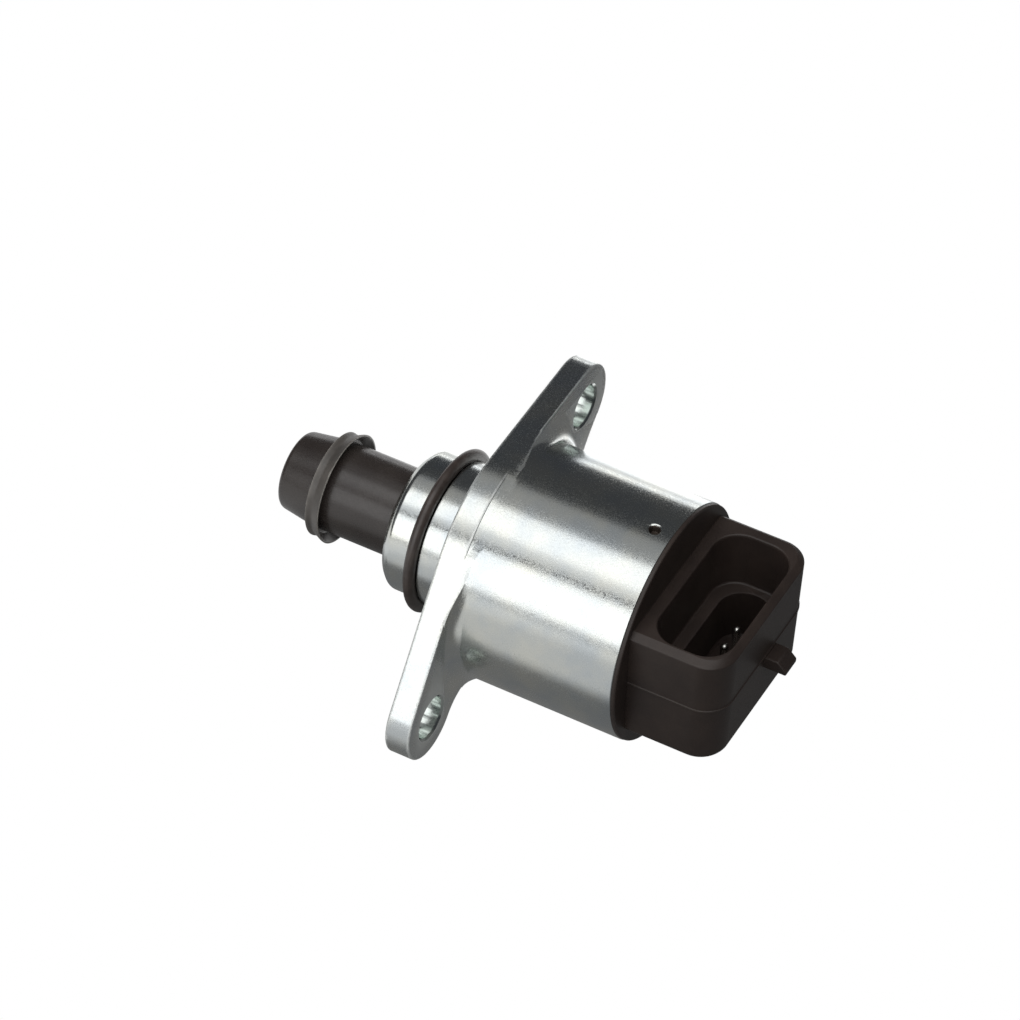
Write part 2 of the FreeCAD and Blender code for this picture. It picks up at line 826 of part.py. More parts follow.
def build_nodes():
    """Every piece by node name."""
    nodes = {}
    nodes["valve_housing"] = make_housing()
    nodes["spigot_seal_ring"] = make_spigot_seal()
    nodes["guide_bush"] = make_guide_bush()
    nodes["key_sleeve"] = make_key_sleeve()
    screw = make_lead_screw()
    nodes["lead_screw"] = screw
    nodes["pintle"] = make_pintle(screw)
    nodes["pintle_lip_ring"] = make_lip_ring()
    nodes["bearing_outer_race"] = make_outer_race()
    nodes["bearing_inner_race"] = make_inner_race()
    nodes["bearing_balls"] = make_balls()
    nodes["bearing_cage"] = make_cage()
    nodes["rotor_hub"] = make_rotor_hub()
    nodes["rotor_magnet"] = make_rotor_magnet()
    for phase in (1, 2):
        x_front = stack_front_x + (phase - 1) * phase_length
        nodes[f"pole_plate_{phase}"] = make_pole_plate(x_front)
        nodes[f"pole_cup_{phase}"] = make_pole_cup(x_front)
        nodes[f"bobbin_{phase}"] = make_bobbin(x_front)
        nodes[f"winding_{phase}"] = make_winding(x_front)
    nodes["rear_bush"] = make_rear_bush()
    nodes["wave_washer"] = make_wave_washer()
    nodes["cap_seal_ring"] = make_cap_seal()
    terminals = [make_terminal(y) for y in pin_places()]
    for index, terminal in enumerate(terminals):
        nodes[f"terminal_{index + 1}"] = terminal
    nodes["connector_cap"] = make_connector_cap(terminals)
    return nodes


os.makedirs("parts", exist_ok=True)
for name, shape in build_nodes().items():
    shape.translate(frame_shift)
    shape.exportStep(f"parts/{name}.step")
    print(f"{name:20s} solids {len(shape.Solids)}  volume {shape.Volume:10.2f}  valid {shape.isValid()}")
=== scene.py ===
import logging
import math
from dataclasses import dataclass
from enum import Enum
from typing import Dict, List, Sequence, Tuple

import bmesh
import bpy
from mathutils import Matrix, Vector


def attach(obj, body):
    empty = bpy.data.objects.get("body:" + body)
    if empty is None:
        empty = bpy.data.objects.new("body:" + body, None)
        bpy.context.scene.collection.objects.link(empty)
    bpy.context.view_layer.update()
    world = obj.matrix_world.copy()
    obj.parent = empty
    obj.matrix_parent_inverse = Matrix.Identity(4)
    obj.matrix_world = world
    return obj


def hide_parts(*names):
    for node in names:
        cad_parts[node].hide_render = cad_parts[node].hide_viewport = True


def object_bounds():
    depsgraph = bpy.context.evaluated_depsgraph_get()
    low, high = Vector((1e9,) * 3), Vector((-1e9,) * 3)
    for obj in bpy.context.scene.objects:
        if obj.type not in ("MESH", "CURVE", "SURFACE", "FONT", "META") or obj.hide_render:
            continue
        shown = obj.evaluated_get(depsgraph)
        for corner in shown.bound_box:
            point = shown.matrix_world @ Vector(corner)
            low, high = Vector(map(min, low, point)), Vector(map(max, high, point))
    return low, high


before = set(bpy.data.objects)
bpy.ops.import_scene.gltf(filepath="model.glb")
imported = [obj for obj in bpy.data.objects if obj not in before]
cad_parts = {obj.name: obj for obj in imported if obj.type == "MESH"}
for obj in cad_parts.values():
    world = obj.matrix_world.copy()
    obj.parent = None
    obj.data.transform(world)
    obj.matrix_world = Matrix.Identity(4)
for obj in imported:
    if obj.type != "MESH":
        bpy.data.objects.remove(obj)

logging.basicConfig(level=logging.INFO, format="%(message)s")
LOG = logging.getLogger("valve")

CAD_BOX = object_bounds()

MM = 0.001
AXIS_Y = 0.95
FINE = 160
HOLE_STEPS = 64
MARK_STEPS = 40
WELD = 1e-4
GUARD = 0.2
ALONG = Vector((1, 0, 0))

Point = Tuple[float, float]
Corner = Tuple[float, float, float]


class Solve(Enum):
    """What a boolean does with its cutter."""

    JOIN = "UNION"
    CUT = "DIFFERENCE"
    SHARED = "INTERSECT"


def linear(code: str) -> Tuple[float, float, float, float]:
    """Turn an sRGB hex code into linear RGBA.

    Args:
        code: Six hex digits, with or without a leading hash.

    Returns:
        Linear red, green, blue and an alpha of one.
    """
    digits = code.lstrip("#")
    values = [int(digits[i:i + 2], 16) / 255.0 for i in (0, 2, 4)]
    red, green, blue = [
        v / 12.92 if v <= 0.04045 else ((v + 0.055) / 1.055) ** 2.4 for v in values
    ]
    return red, green, blue, 1.0


def add_node(tree: bpy.types.NodeTree, kind: str, sockets: Dict[str, object] = None, **settings):
    """Add a node with its settings, socket values and links.

    Args:
        tree: Node tree that gets the node.
        kind: Blender's node type.
        sockets: Input name to a plain value or to an output socket that feeds it.
        settings: Attributes of the node itself.

    Returns:
        The new node.
    """
    node = tree.nodes.new(kind)
    for name, value in settings.items():
        setattr(node, name, value)
    for name, value in (sockets or {}).items():
        if isinstance(value, bpy.types.NodeSocket):
            tree.links.new(value, node.inputs[name])
        else:
            node.inputs[name].default_value = value
    return node


def _scaled(tree: bpy.types.NodeTree, value, low, high, to_low=0.0, to_high=1.0) -> bpy.types.NodeSocket:
    """A value mapped from one range to another, whose ends are numbers or sockets."""
    sockets = {"Value": value, "From Min": low, "From Max": high, "To Min": to_low, "To Max": to_high}
    return add_node(tree, "ShaderNodeMapRange", sockets).outputs["Result"]


def _reckon(tree: bpy.types.NodeTree, operation: str, first, second) -> bpy.types.NodeSocket:
    """The result of a math node with two numbers or sockets."""
    return add_node(tree, "ShaderNodeMath", {0: first, 1: second}, operation=operation).outputs[0]


@dataclass(frozen=True)
class Finish:
    """A surface finish made from procedural nodes in object coordinates.

    Attributes:
        name: Material name, after the real material.
        light: Lighter of the two colours that the surface drifts between.
        dark: Darker of the two colours.
        patch: Size of the colour patches in millimetres.
        metallic: Metallic value of the shader.
        smooth: Lowest roughness.
        rough: Highest roughness.
        grain: Size of the fine grain in millimetres.
        relief: Height of the fine grain in millimetres.
        wave: Size of the broad unevenness in millimetres.
        wave_relief: Height of the broad unevenness in millimetres.
        stretch: How much longer the grain is along X than across it.
        level: Specular level of the shader.
        edge: Colour of worn edges, if they are lighter than the rest: partly wear and partly a painted
            highlight along sharp edges.
        edge_rough: How much rougher worn edges are.
        edge_from: Distance from the valve's axis, in millimetres, beyond which edges get the worn colour and
            painted highlight.
    """

    name: str
    light: str
    dark: str
    patch: float = 2.0
    metallic: float = 0.0
    smooth: float = 0.3
    rough: float = 0.45
    grain: float = 0.3
    relief: float = 0.004
    wave: float = 4.0
    wave_relief: float = 0.0
    stretch: float = 1.0
    level: float = 0.5
    edge: str = ""
    edge_rough: float = 0.0
    edge_from: float = 0.0

    def make(self) -> bpy.types.Material:
        """Build the material, or return the one that is already there.

        Returns:
            The finished material.
        """
        known = bpy.data.materials.get(self.name)
        if known is not None:
            return known
        material = bpy.data.materials.new(self.name)
        material.use_nodes = True
        tree = material.node_tree
        tree.nodes.clear()
        place = add_node(tree, "ShaderNodeTexCoord").outputs["Object"]
        drawn = add_node(
            tree, "ShaderNodeMapping", {"Vector": place, "Scale": (1.0 / self.stretch, 1.0, 1.0)}
        ).outputs["Vector"]
        patches = self._noise(tree, place, self.patch, 3.0)
        grain = self._noise(tree, drawn, self.grain, 4.0)
        tint = _scaled(tree, patches, 0.35, 0.65)
        colour = add_node(tree, "ShaderNodeMix", data_type="RGBA")
        self._mix_sockets(tree, colour, tint, self.dark, self.light)
        skin = self._colour_out(colour)
        gloss = _scaled(tree, grain, 0.3, 0.7, self.smooth, self.rough)
        # Sharp edges get a lighter colour, partly wear and partly a painted highlight, and a rougher
        # surface.
        if self.edge:
            wear_and_sheen = self._wear_and_sheen(tree, place, grain)
            rim = add_node(tree, "ShaderNodeMix", data_type="RGBA")
            self._mix_sockets(tree, rim, wear_and_sheen, self.dark, self.edge)
            tree.links.new(skin, self._inputs(rim)["A_Color"])
            skin = self._colour_out(rim)
            gloss = _reckon(tree, "ADD", _reckon(tree, "MULTIPLY", wear_and_sheen, self.edge_rough), gloss)
        shader = add_node(
            tree,
            "ShaderNodeBsdfPrincipled",
            {
                "Base Color": skin,
                "Metallic": self.metallic,
                "Roughness": gloss,
                "Specular IOR Level": self.level,
            },
        )
        normal = self._bump(tree, grain, self.relief, None)
        if self.wave_relief > 0:
            normal = self._bump(tree, self._noise(tree, drawn, self.wave, 2.0), self.wave_relief, normal)
        tree.links.new(normal, shader.inputs["Normal"])
        add_node(tree, "ShaderNodeOutputMaterial", {"Surface": shader.outputs["BSDF"]})
        material.diffuse_color = linear(self.light)
        return material

    def _noise(self, tree, place, size: float, detail: float):
        """A noise value whose lumps are about that many millimetres."""
        sockets = {"Vector": place, "Scale": 1.0 / (size * MM), "Detail": detail, "Roughness": 0.55}
        return add_node(tree, "ShaderNodeTexNoise", sockets).outputs["Fac"]

    def _bump(self, tree, height, relief: float, normal):
        """A bump of that height in millimetres on top of another normal."""
        sockets = {"Height": height, "Distance": relief * MM, "Strength": 1.0}
        if normal is not None:
            sockets["Normal"] = normal
        return add_node(tree, "ShaderNodeBump", sockets).outputs["Normal"]

    def _wear_and_sheen(self, tree, place, grain):
        """How much wear and painted highlight an edge gets, from how sharply the surface bends, broken up by
        the grain.
        """
        bend = add_node(tree, "ShaderNodeNewGeometry").outputs["Pointiness"]
        sharp = _scaled(tree, bend, 0.505, 0.535)
        broken = _scaled(tree, grain, 0.35, 0.6, 0.5, 1.0)
        sockets = {"Vector": place, "Location": (0.0, -AXIS_Y * MM, 0.0), "Scale": (0.0, 1.0, 1.0)}
        from_axis = add_node(tree, "ShaderNodeMapping", sockets).outputs["Vector"]
        radius = add_node(tree, "ShaderNodeVectorMath", {0: from_axis}, operation="LENGTH").outputs["Value"]
        outside = _scaled(tree, radius, self.edge_from * MM, (self.edge_from + 0.12) * MM)
        return _reckon(tree, "MULTIPLY", _reckon(tree, "MULTIPLY", sharp, broken), outside)

    def _inputs(self, node) -> Dict[str, bpy.types.NodeSocket]:
        """The inputs of a node by identifier."""
        return {socket.identifier: socket for socket in node.inputs}

    def _colour_out(self, node) -> bpy.types.NodeSocket:
        """The colour result of a mix node."""
        return {socket.identifier: socket for socket in node.outputs}["Result_Color"]

    def _mix_sockets(self, tree, node, factor, low: str, high: str) -> None:
        """Set the colour sockets of a mix node, which share names with its number sockets."""
        inputs = self._inputs(node)
        tree.links.new(factor, inputs["Factor_Float"])
        inputs["A_Color"].default_value = linear(low)
        inputs["B_Color"].default_value = linear(high)


# Steel under bright zinc plating with a clear passivate, blue in the shade; its lighter colour on the edges
# of the flange and its ears is partly wear and partly a painted highlight.
ZINC_PLATE = Finish(
    "zinc_plated_steel", "#DBDCD5", "#C9CFD1", patch=7.0, metallic=1.0, smooth=0.1, rough=0.3,
    grain=0.2, relief=0.0065, wave=2.6, wave_relief=0.01, edge="#E4E6E4", edge_rough=0.55,
    edge_from=17.52,
)
# The same plating on the drilled holes' smooth walls.
ZINC_BORE = Finish(
    "zinc_plated_bore", "#D5DAD6", "#C8D0CC", patch=3.0, metallic=1.0, smooth=0.12, rough=0.2,
    relief=0.001,
)
# Bare pressed steel inside a punch mark, painted dark brown for the shade in the recess.
PUNCHED_STEEL = Finish(
    "punched_steel", "#4A413A", "#2E2825", patch=0.8, metallic=0.7, smooth=0.45, rough=0.6, grain=0.15,
    relief=0.006,
)
# Black glass-filled nylon from a finely eroded mould.
BLACK_NYLON = Finish(
    "glass_filled_nylon", "#2F2723", "#28211E", patch=5.0, smooth=0.36, rough=0.5, grain=0.2,
    relief=0.005, wave=5.0, wave_relief=0.008, level=0.38,
)
# Smooth black acetal of the pintle, a little brown.
PINTLE_ACETAL = Finish(
    "black_acetal", "#302B28", "#282321", patch=6.0, smooth=0.22, rough=0.34, relief=0.0015,
    stretch=2.0, wave=6.0, wave_relief=0.006, level=0.6,
)
# Tough grey-black plastic of the lip ring; its much lighter edges are a painted highlight on the rims,
# partly wear.
LIP_PLASTIC = Finish(
    "lip_ring_polyamide", "#4E4A46", "#3F3C39", patch=3.0, smooth=0.34, rough=0.46, edge="#8A8680",
    edge_rough=0.1,
)
# Nitrile rubber of the seals.
SEAL_RUBBER = Finish(
    "nitrile_rubber", "#3C3430", "#2E2724", rough=0.44, grain=0.2, relief=0.003, level=0.6,
)
# Bright tin on the round terminals.
TINNED_BRASS = Finish(
    "tinned_brass", "#E3E2DD", "#CFCEC9", metallic=1.0, smooth=0.16, rough=0.28, grain=0.15,
    relief=0.002,
)
# Bare electrical steel of the pole pieces.
STATOR_STEEL = Finish(
    "stator_steel", "#A7A9AB", "#8E9194", patch=4.0, metallic=1.0, relief=0.003,
)
# Ground and polished bearing steel.
BEARING_STEEL = Finish(
    "bearing_steel", "#CDD0D3", "#BCC0C4", patch=3.0, metallic=1.0, smooth=0.1, rough=0.2, grain=0.2,
    relief=0.001,
)
# Stainless steel of the rolled lead screw.
SCREW_STEEL = Finish(
    "screw_steel", "#B9BBBC", "#A6A8AA", metallic=1.0, smooth=0.22, rough=0.36, grain=0.2, relief=0.002,
)
# Blued spring steel.
SPRING_STEEL = Finish(
    "spring_steel", "#6D7178", "#585C63", metallic=1.0, smooth=0.25, rough=0.4, grain=0.2, relief=0.002,
)
# Natural acetal of bushes and sleeve.
BUSH_PLASTIC = Finish(
    "natural_acetal", "#D8D4C6", "#CBC6B6", patch=4.0, smooth=0.35, rough=0.5, relief=0.003,
)
# Cream nylon of the winding bobbins.
BOBBIN_PLASTIC = Finish(
    "bobbin_nylon", "#BDB69E", "#AFA890", patch=4.0, smooth=0.4, rough=0.55, relief=0.003,
)
# Sintered ferrite of the rotor magnet.
FERRITE = Finish(
    "sintered_ferrite", "#3A3A3D", "#2C2C2F", smooth=0.5, rough=0.7, grain=0.15, relief=0.006,
)
# Oil-filled sintered bronze.
BRONZE = Finish(
    "sintered_bronze", "#9A7A4E", "#86683F", metallic=1.0, smooth=0.4, rough=0.55, grain=0.15,
)
# Enamelled copper wire.
COPPER_WIRE = Finish(
    "enamelled_copper", "#A4582F", "#8A4423", metallic=1.0, smooth=0.25, rough=0.4, grain=0.15,
    relief=0.02,
)


def soften(points: Sequence[Corner], steps: int = 4) -> List[Point]:
    """Round the corners of a closed outline.

    Args:
        points: Corners as two coordinates and the length of the rounding at that corner.
        steps: Number of short edges in each rounding.

    Returns:
        The finer outline.
    """
    outline: List[Point] = []
    for index, (x, y, size) in enumerate(points):
        here = Vector((x, y))
        if size <= 0:
            outline.append((x, y))
            continue
        before = Vector(points[index - 1][:2]) - here
        after = Vector(points[(index + 1) % len(points)][:2]) - here
        start = here + before.normalized() * min(size, before.length * 0.45)
        end = here + after.normalized() * min(size, after.length * 0.45)
        for step in range(steps + 1):
            t = step / steps
            point = start * (1 - t) ** 2 + here * 2 * t * (1 - t) + end * t ** 2
            outline.append((point.x, point.y))
    return outline


def place_mesh(name: str, bm: bmesh.types.BMesh) -> bpy.types.Object:
    """Turn a bmesh into an object of the scene.

    Args:
        name: Name of the object and its mesh.
        bm: The mesh, which is freed.

    Returns:
        The new object at the origin.
    """
    mesh = bpy.data.meshes.new(name)
    bm.to_mesh(mesh)
    bm.free()
    piece = bpy.data.objects.new(name, mesh)
    bpy.context.scene.collection.objects.link(piece)
    return piece


def finish_mesh(name: str, bm: bmesh.types.BMesh, sharp: float = 32.0) -> bpy.types.Object:
    """Turn a bmesh in millimetres about the valve's axis into an object in the row frame.

    Args:
        name: Name of the piece.
        bm: The mesh, which is freed.
        sharp: Angle in degrees above which an edge stays crisp.

    Returns:
        The new object at the origin.
    """
    bmesh.ops.recalc_face_normals(bm, faces=bm.faces)
    place = Matrix.Scale(MM, 4) @ Matrix.Translation((0, AXIS_Y, 0))
    bmesh.ops.transform(bm, matrix=place, verts=bm.verts)
    piece = place_mesh(name, bm)
    piece.data.polygons.foreach_set("use_smooth", [True] * len(piece.data.polygons))
    piece.data.set_sharp_from_angle(angle=math.radians(sharp))
    shading = piece.modifiers.new("shading", "WEIGHTED_NORMAL")
    shading.keep_sharp = True
    return piece


def lathe(profile: Sequence[Point], segments: int = FINE) -> bmesh.types.BMesh:
    """Spin a closed outline of station and radius about the X axis.

    Args:
        profile: Closed outline as (x, radius) in millimetres.
        segments: Number of steps in a turn.

    Returns:
        The spun mesh.
    """
    bm = bmesh.new()
    verts = [bm.verts.new((x, 0.0, max(r, 0.0))) for x, r in profile]
    edges = [
        bm.edges.new((verts[i], verts[(i + 1) % len(verts)]))
        for i in range(len(verts))
        if profile[i][1] > 1e-6 or profile[(i + 1) % len(verts)][1] > 1e-6
    ]
    bmesh.ops.spin(
        bm, geom=verts + edges, axis=(1, 0, 0), angle=math.tau, steps=segments, use_merge=True,
        use_duplicate=False,
    )
    bmesh.ops.remove_doubles(bm, verts=bm.verts, dist=1e-5)
    bmesh.ops.recalc_face_normals(bm, faces=bm.faces)
    return bm


def loft(rows: Sequence[Sequence[Vector]]) -> Tuple[bmesh.types.BMesh, List[bmesh.types.BMFace]]:
    """Join rows of points, each with the same number, into a closed solid.

    Args:
        rows: Closed loops of points from one end of the solid to the other.

    Returns:
        The solid and the faces of its two ends.
    """
    bm = bmesh.new()
    loops = [[bm.verts.new(point) for point in row] for row in rows]
    ends = [bm.faces.new(loops[0]), bm.faces.new(list(reversed(loops[-1])))]
    count = len(loops[0])
    for low, high in zip(loops, loops[1:]):
        for i in range(count):
            j = (i + 1) % count
            bm.faces.new((low[i], high[i], high[j], low[j]))
    bmesh.ops.recalc_face_normals(bm, faces=bm.faces)
    return bm, ends


def _round_edges(bm: bmesh.types.BMesh, edges: List[bmesh.types.BMEdge], width: float) -> None:
    """Round some edges of a mesh."""
    bmesh.ops.bevel(
        bm, geom=edges, offset=width, offset_type="OFFSET", segments=3, profile=0.5,
        affect="EDGES", material=-1, clamp_overlap=True,
    )


def prism(outline: Sequence[Point], front: float, rear: float, edge: float = 0.0) -> bmesh.types.BMesh:
    """A solid between two stations from an outline in the YZ plane, with rounded rims.

    Args:
        outline: Corners as (y, z) in millimetres.
        front: Front station.
        rear: Rear station.
        edge: Width of the rounding along both rims.

    Returns:
        The solid.
    """
    guard = edge + GUARD
    stations = (front, front + guard, rear - guard, rear) if edge > 0 else (front, rear)
    bm, ends = loft([[Vector((x, y, z)) for y, z in outline] for x in stations])
    if edge > 0:
        rims = list({e for face in ends for e in face.edges})
        bmesh.ops.inset_individual(bm, faces=ends, thickness=guard, use_even_offset=True)
        _round_edges(bm, rims, edge)
    return bm


def combine(first: bmesh.types.BMesh, second: bmesh.types.BMesh, how: Solve) -> bmesh.types.BMesh:
    """Join, cut or intersect two closed meshes with the exact solver.

    Args:
        first: Mesh that is changed; it is freed.
        second: The tool; it is freed.
        how: The boolean operation.

    Returns:
        The resulting mesh.
    """
    body, tool = (place_mesh("boolean", bm) for bm in (first, second))
    change = body.modifiers.new("boolean", "BOOLEAN")
    change.operation = how.value
    change.solver = "EXACT"
    change.object = tool
    graph = bpy.context.evaluated_depsgraph_get()
    result = bmesh.new()
    result.from_mesh(body.evaluated_get(graph).to_mesh())
    for piece in (body, tool):
        mesh = piece.data
        bpy.data.objects.remove(piece)
        bpy.data.meshes.remove(mesh)
    return result


def dress(piece: bpy.types.Object, finish: Finish, body: str, slot: str, *nodes: str) -> bpy.types.Object:
    """Give a piece its finish and its place in the frame.

    Args:
        piece: The new piece.
        finish: Its finish.
        body: Body of the frame that it moves with.
        slot: Material slot in the record; not used.
        nodes: Solids that it stands for.

    Returns:
        The same piece.
    """
    piece.data.materials.clear()
    piece.data.materials.append(finish.make())
    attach(piece, body)
    if nodes:
        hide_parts(*nodes)
    LOG.info("%s: %d faces on %s", piece.name, len(piece.data.polygons), body)
    return piece


@dataclass
class Housing:
    """Can, flange ears and spigot in one piece of plated steel.

    Attributes:
        radius: Outside radius of the can.
        length: Length of the can behind the seating face.
        bore: Inside radius of the can.
        flange: Thickness of the flange.
        pitch: Distance between the bolt holes.
        hole_line: Angle of the hole line from +Y in degrees.
        hole_shift: Distance of the hole line's middle from the axis.
        ear_radius: Radius of the ear's end.
        disc: Radius of the flange's round middle.
        neck_radii: Radius of the hollow side of the upper and of the lower ear.
        bolt_radius: Radius of the bolt hole.
        root: Radius of the fillet between ear and can.
        run_out: Angle in degrees over which the fillet runs out on the can.
        rim: Rounding of the flange's rims.
        soft_step: Height of the soft shoulder between flange and can.
        relief_radius: Radius of the relief in the seating face.
        relief_depth: Depth of that relief.
        spigot: Station of the spigot's end.
        pilot: Radius of the spigot in front of the groove.
        land: Radius of the spigot behind the groove.
        groove: Front and rear of the groove.
        groove_floor: Radius of the groove's floor.
        mouth: Radius of the spigot's opening.
        bush_bore: Radius of the spigot behind that opening.
        bush_x: Front and rear of that bore.
        mark_radius: Radius of the punch mark's floor.
        mark_depth: Depth of the punch mark.
        dimple_tilt: Angle of the punch mark from +Z in degrees.
        dimple_setback: Distance of the punch mark from the can's rear rim.
    """

    radius: float = 17.5
    disc: float = 17.7
    length: float = 28.6
    bore: float = 15.5
    flange: float = 3.8
    pitch: float = 49.2
    hole_line: float = 29.3
    hole_shift: float = -0.95
    ear_radius: float = 6.3
    neck_radii: Tuple[float, float] = (25.0, 5.8)
    bolt_radius: float = 3.2
    root: float = 2.0
    run_out: float = 16.0
    rim: float = 0.26
    soft_step: float = 0.1
    relief_radius: float = 12.8
    relief_depth: float = 0.3
    spigot: float = -11.8
    pilot: float = 10.4
    land: float = 10.7
    groove: Point = (-7.25, -5.5)
    groove_floor: float = 10.08
    mouth: float = 7.62
    bush_bore: float = 8.02
    bush_x: Point = (-0.8, 6.2)
    mark_radius: float = 0.55
    mark_depth: float = 1.1
    dimple_tilt: float = 3.5
    dimple_setback: float = 2.7

    def hole(self, side: int) -> Vector:
        """Centre of a bolt hole in (y, z).

        Args:
            side: One for the upper ear and minus one for the lower.

        Returns:
            The centre.
        """
        angle = math.radians(self.hole_line)
        reach = side * self.pitch / 2
        return Vector((self.hole_shift + reach * math.cos(angle), reach * math.sin(angle)))

    def ear_outline(self, side: int, fade: float = 0.0) -> List[Point]:
        """Outline of an ear in (y, z): straight on one side and hollow on the other.

        Args:
            side: One for the upper ear and minus one for the lower.
            fade: Angle in degrees over which both sides run out on the can.

        Returns:
            The corners in order.
        """
        centre = self.hole(side)
        reach = centre.length
        out = centre / reach
        across = Vector((-out.y, out.x)) * side
        neck_radius = self.neck_radii[0] if side > 0 else self.neck_radii[1]
        lean = (self.disc - self.ear_radius) / reach
        straight = out * lean + across * math.sqrt(1 - lean * lean)
        can_sum = self.disc + neck_radius
        end_sum = self.ear_radius + neck_radius
        along = (reach ** 2 + can_sum ** 2 - end_sum ** 2) / (2 * reach)
        neck = out * along - across * math.sqrt(can_sum ** 2 - along ** 2)
        inner = self.disc - 2.4
        can_point = neck * (self.disc / can_sum)
        end_point = centre + (neck - centre).normalized() * self.ear_radius
        points = [straight * inner, straight * self.disc]
        if fade > 0:
            points = list(reversed(self._run_out(straight, fade * side, inner)))
        points += self._arc(centre, straight, (neck - centre).normalized(), self.ear_radius, out, 40)
        points += self._arc(neck, end_point - neck, can_point - neck, neck_radius, -out, 24, True)[1:]
        if fade > 0:
            points += self._run_out(can_point.normalized(), -fade * side, inner)[1:]
        else:
            points.append(can_point.normalized() * inner)
        return [(p.x, p.y) for p in points]

    def _run_out(self, start: Vector, fade: float, inner: float) -> List[Vector]:
        """Points that leave the disc's rim and sink slowly into the can, then turn inward."""
        points = []
        for step in range(9):
            share = step / 8
            sunk = share * share * (3 - 2 * share) * (self.disc - self.radius + 0.03)
            points.append(Matrix.Rotation(math.radians(fade * share), 2) @ start * (self.disc - sunk))
        points.append(points[-1].normalized() * inner)
        return points

    def flange_outline(self) -> List[Point]:
        """Outline of the whole flange in (y, z): two ears on a round disc.

        Returns:
            The corners in order.
        """
        upper = [Vector(p) for p in self.ear_outline(1)[1:-1]]
        lower = [Vector(p) for p in reversed(self.ear_outline(-1)[1:-1])]
        middle = Vector((0.0, 0.0))
        points = upper + self._arc(middle, upper[-1], lower[0], self.disc, None, 30)[1:-1]
        points += lower + self._arc(middle, lower[-1], upper[0], self.disc, None, 60)[1:-1]
        return [(p.x, p.y) for p in points]

    def _arc(self, centre, start, end, radius, through, steps, hollow=False) -> List[Vector]:
        """Points of an arc: by way of a third direction, hollow, or clockwise when there is none."""
        first = math.atan2(start.y, start.x)
        sweep = (math.atan2(end.y, end.x) - first) % math.tau
        if through is None:
            sweep -= math.tau
        elif hollow:
            sweep = sweep if sweep <= math.pi else sweep - math.tau
        else:
            passing = (math.atan2(through.y, through.x) - first) % math.tau
            sweep = sweep if passing < sweep else sweep - math.tau
        points = []
        for step in range(steps + 1):
            angle = first + sweep * step / steps
            points.append(centre + Vector((math.cos(angle), math.sin(angle))) * radius)
        return points

    def shell_profile(self) -> List[Point]:
        """Outline of everything that is turned: spigot with its groove, flange disc and can."""
        front, rear = self.groove
        shoulder = self.radius + self.soft_step
        profile = [
            (self.spigot, self.mouth, 0.15),
            (self.spigot, self.pilot - 1.1, 0.5),
            (self.spigot + 1.1, self.pilot, 0.5),
            (front, self.pilot, 0.15),
            (front, self.groove_floor, 0.0),
            (rear, self.groove_floor, 0.0),
            (rear, self.land, 0.15),
            (self.relief_depth + 0.5, self.land, 0.0),
            (self.relief_depth + 0.5, self.radius, 0.0),
            (self.flange - 0.3, shoulder, 0.1),
            (self.flange + 0.2, shoulder, 0.2),
            (self.flange + 0.55, self.radius, 0.2),
        ]
        profile += [(station, self.radius, 0.0) for station in (8.0, 12.0, 16.0, 20.0, 24.0)]
        profile += [
            (self.length, self.radius, 0.16),
            (self.length, self.bore, 0.2),
            (self.bush_x[1], self.bore, 0.0),
            (self.bush_x[1], self.bush_bore, 0.0),
            (self.bush_x[0], self.bush_bore, 0.0),
            (self.bush_x[0], self.mouth, 0.0),
        ]
        return soften(profile)

    def relief(self) -> List[Point]:
        """Outline of what the flange leaves free: the relief round the spigot and the can's inside."""
        front, rear = -1.0, self.flange + 1.0
        wide, narrow = self.relief_radius, self.land - 0.2
        step = self.relief_depth
        return [(front, 0.0), (front, wide), (step, wide), (step, narrow), (rear, narrow), (rear, 0.0)]

    def root_ring(self) -> List[Point]:
        """Outline of the hollow fillet ring behind the flange."""
        under = self.radius - 0.6
        points = [(self.flange - 0.4, under), (self.flange - 0.4, self.radius + self.root)]
        steps = 12
        for step in range(steps + 1):
            angle = math.radians(90.0 * step / steps)
            x = self.flange + self.root * (1 - math.cos(angle))
            points.append((x, self.radius - 0.012 + self.root * (1 - math.sin(angle))))
        points.append((self.flange + self.root, under))
        return points

    def drill(self, side: int) -> bmesh.types.BMesh:
        """The bolt hole with small countersinks at both faces."""
        centre = self.hole(side)
        lip = 0.3
        ends = [
            (-1.0, self.bolt_radius + lip + 1.0),
            (lip, self.bolt_radius),
            (self.flange - lip, self.bolt_radius),
            (self.flange + 1.0, self.bolt_radius + lip + 1.0),
        ]
        bm = lathe([(ends[0][0], 0.0)] + ends + [(ends[-1][0], 0.0)], HOLE_STEPS)
        bmesh.ops.translate(bm, verts=bm.verts, vec=(0, centre.x, centre.y))
        return bm

    def dimple(self, side: int) -> bmesh.types.BMesh:
        """The punch mark near the can's rear rim."""
        floor, top = -self.mark_depth, 0.5
        corners = [
            (floor, 0.0, 0.0),
            (floor, self.mark_radius, 0.12),
            (-0.2, 0.72, 0.2),
            (0.03, 1.1, 0.2),
            (top, 1.9, 0.0),
            (top, 0.0, 0.0),
        ]
        bm = lathe(soften(corners), MARK_STEPS)
        turn = Matrix.Rotation(math.radians(-90.0 * side), 4, "Y")
        tilt = Matrix.Rotation(math.radians(self.dimple_tilt), 4, "X")
        place = Matrix.Translation((self.length - self.dimple_setback, 0, 0))
        lift = Matrix.Translation((0, 0, self.radius * side))
        bmesh.ops.transform(bm, matrix=place @ tilt @ lift @ turn, verts=bm.verts)
        return bm

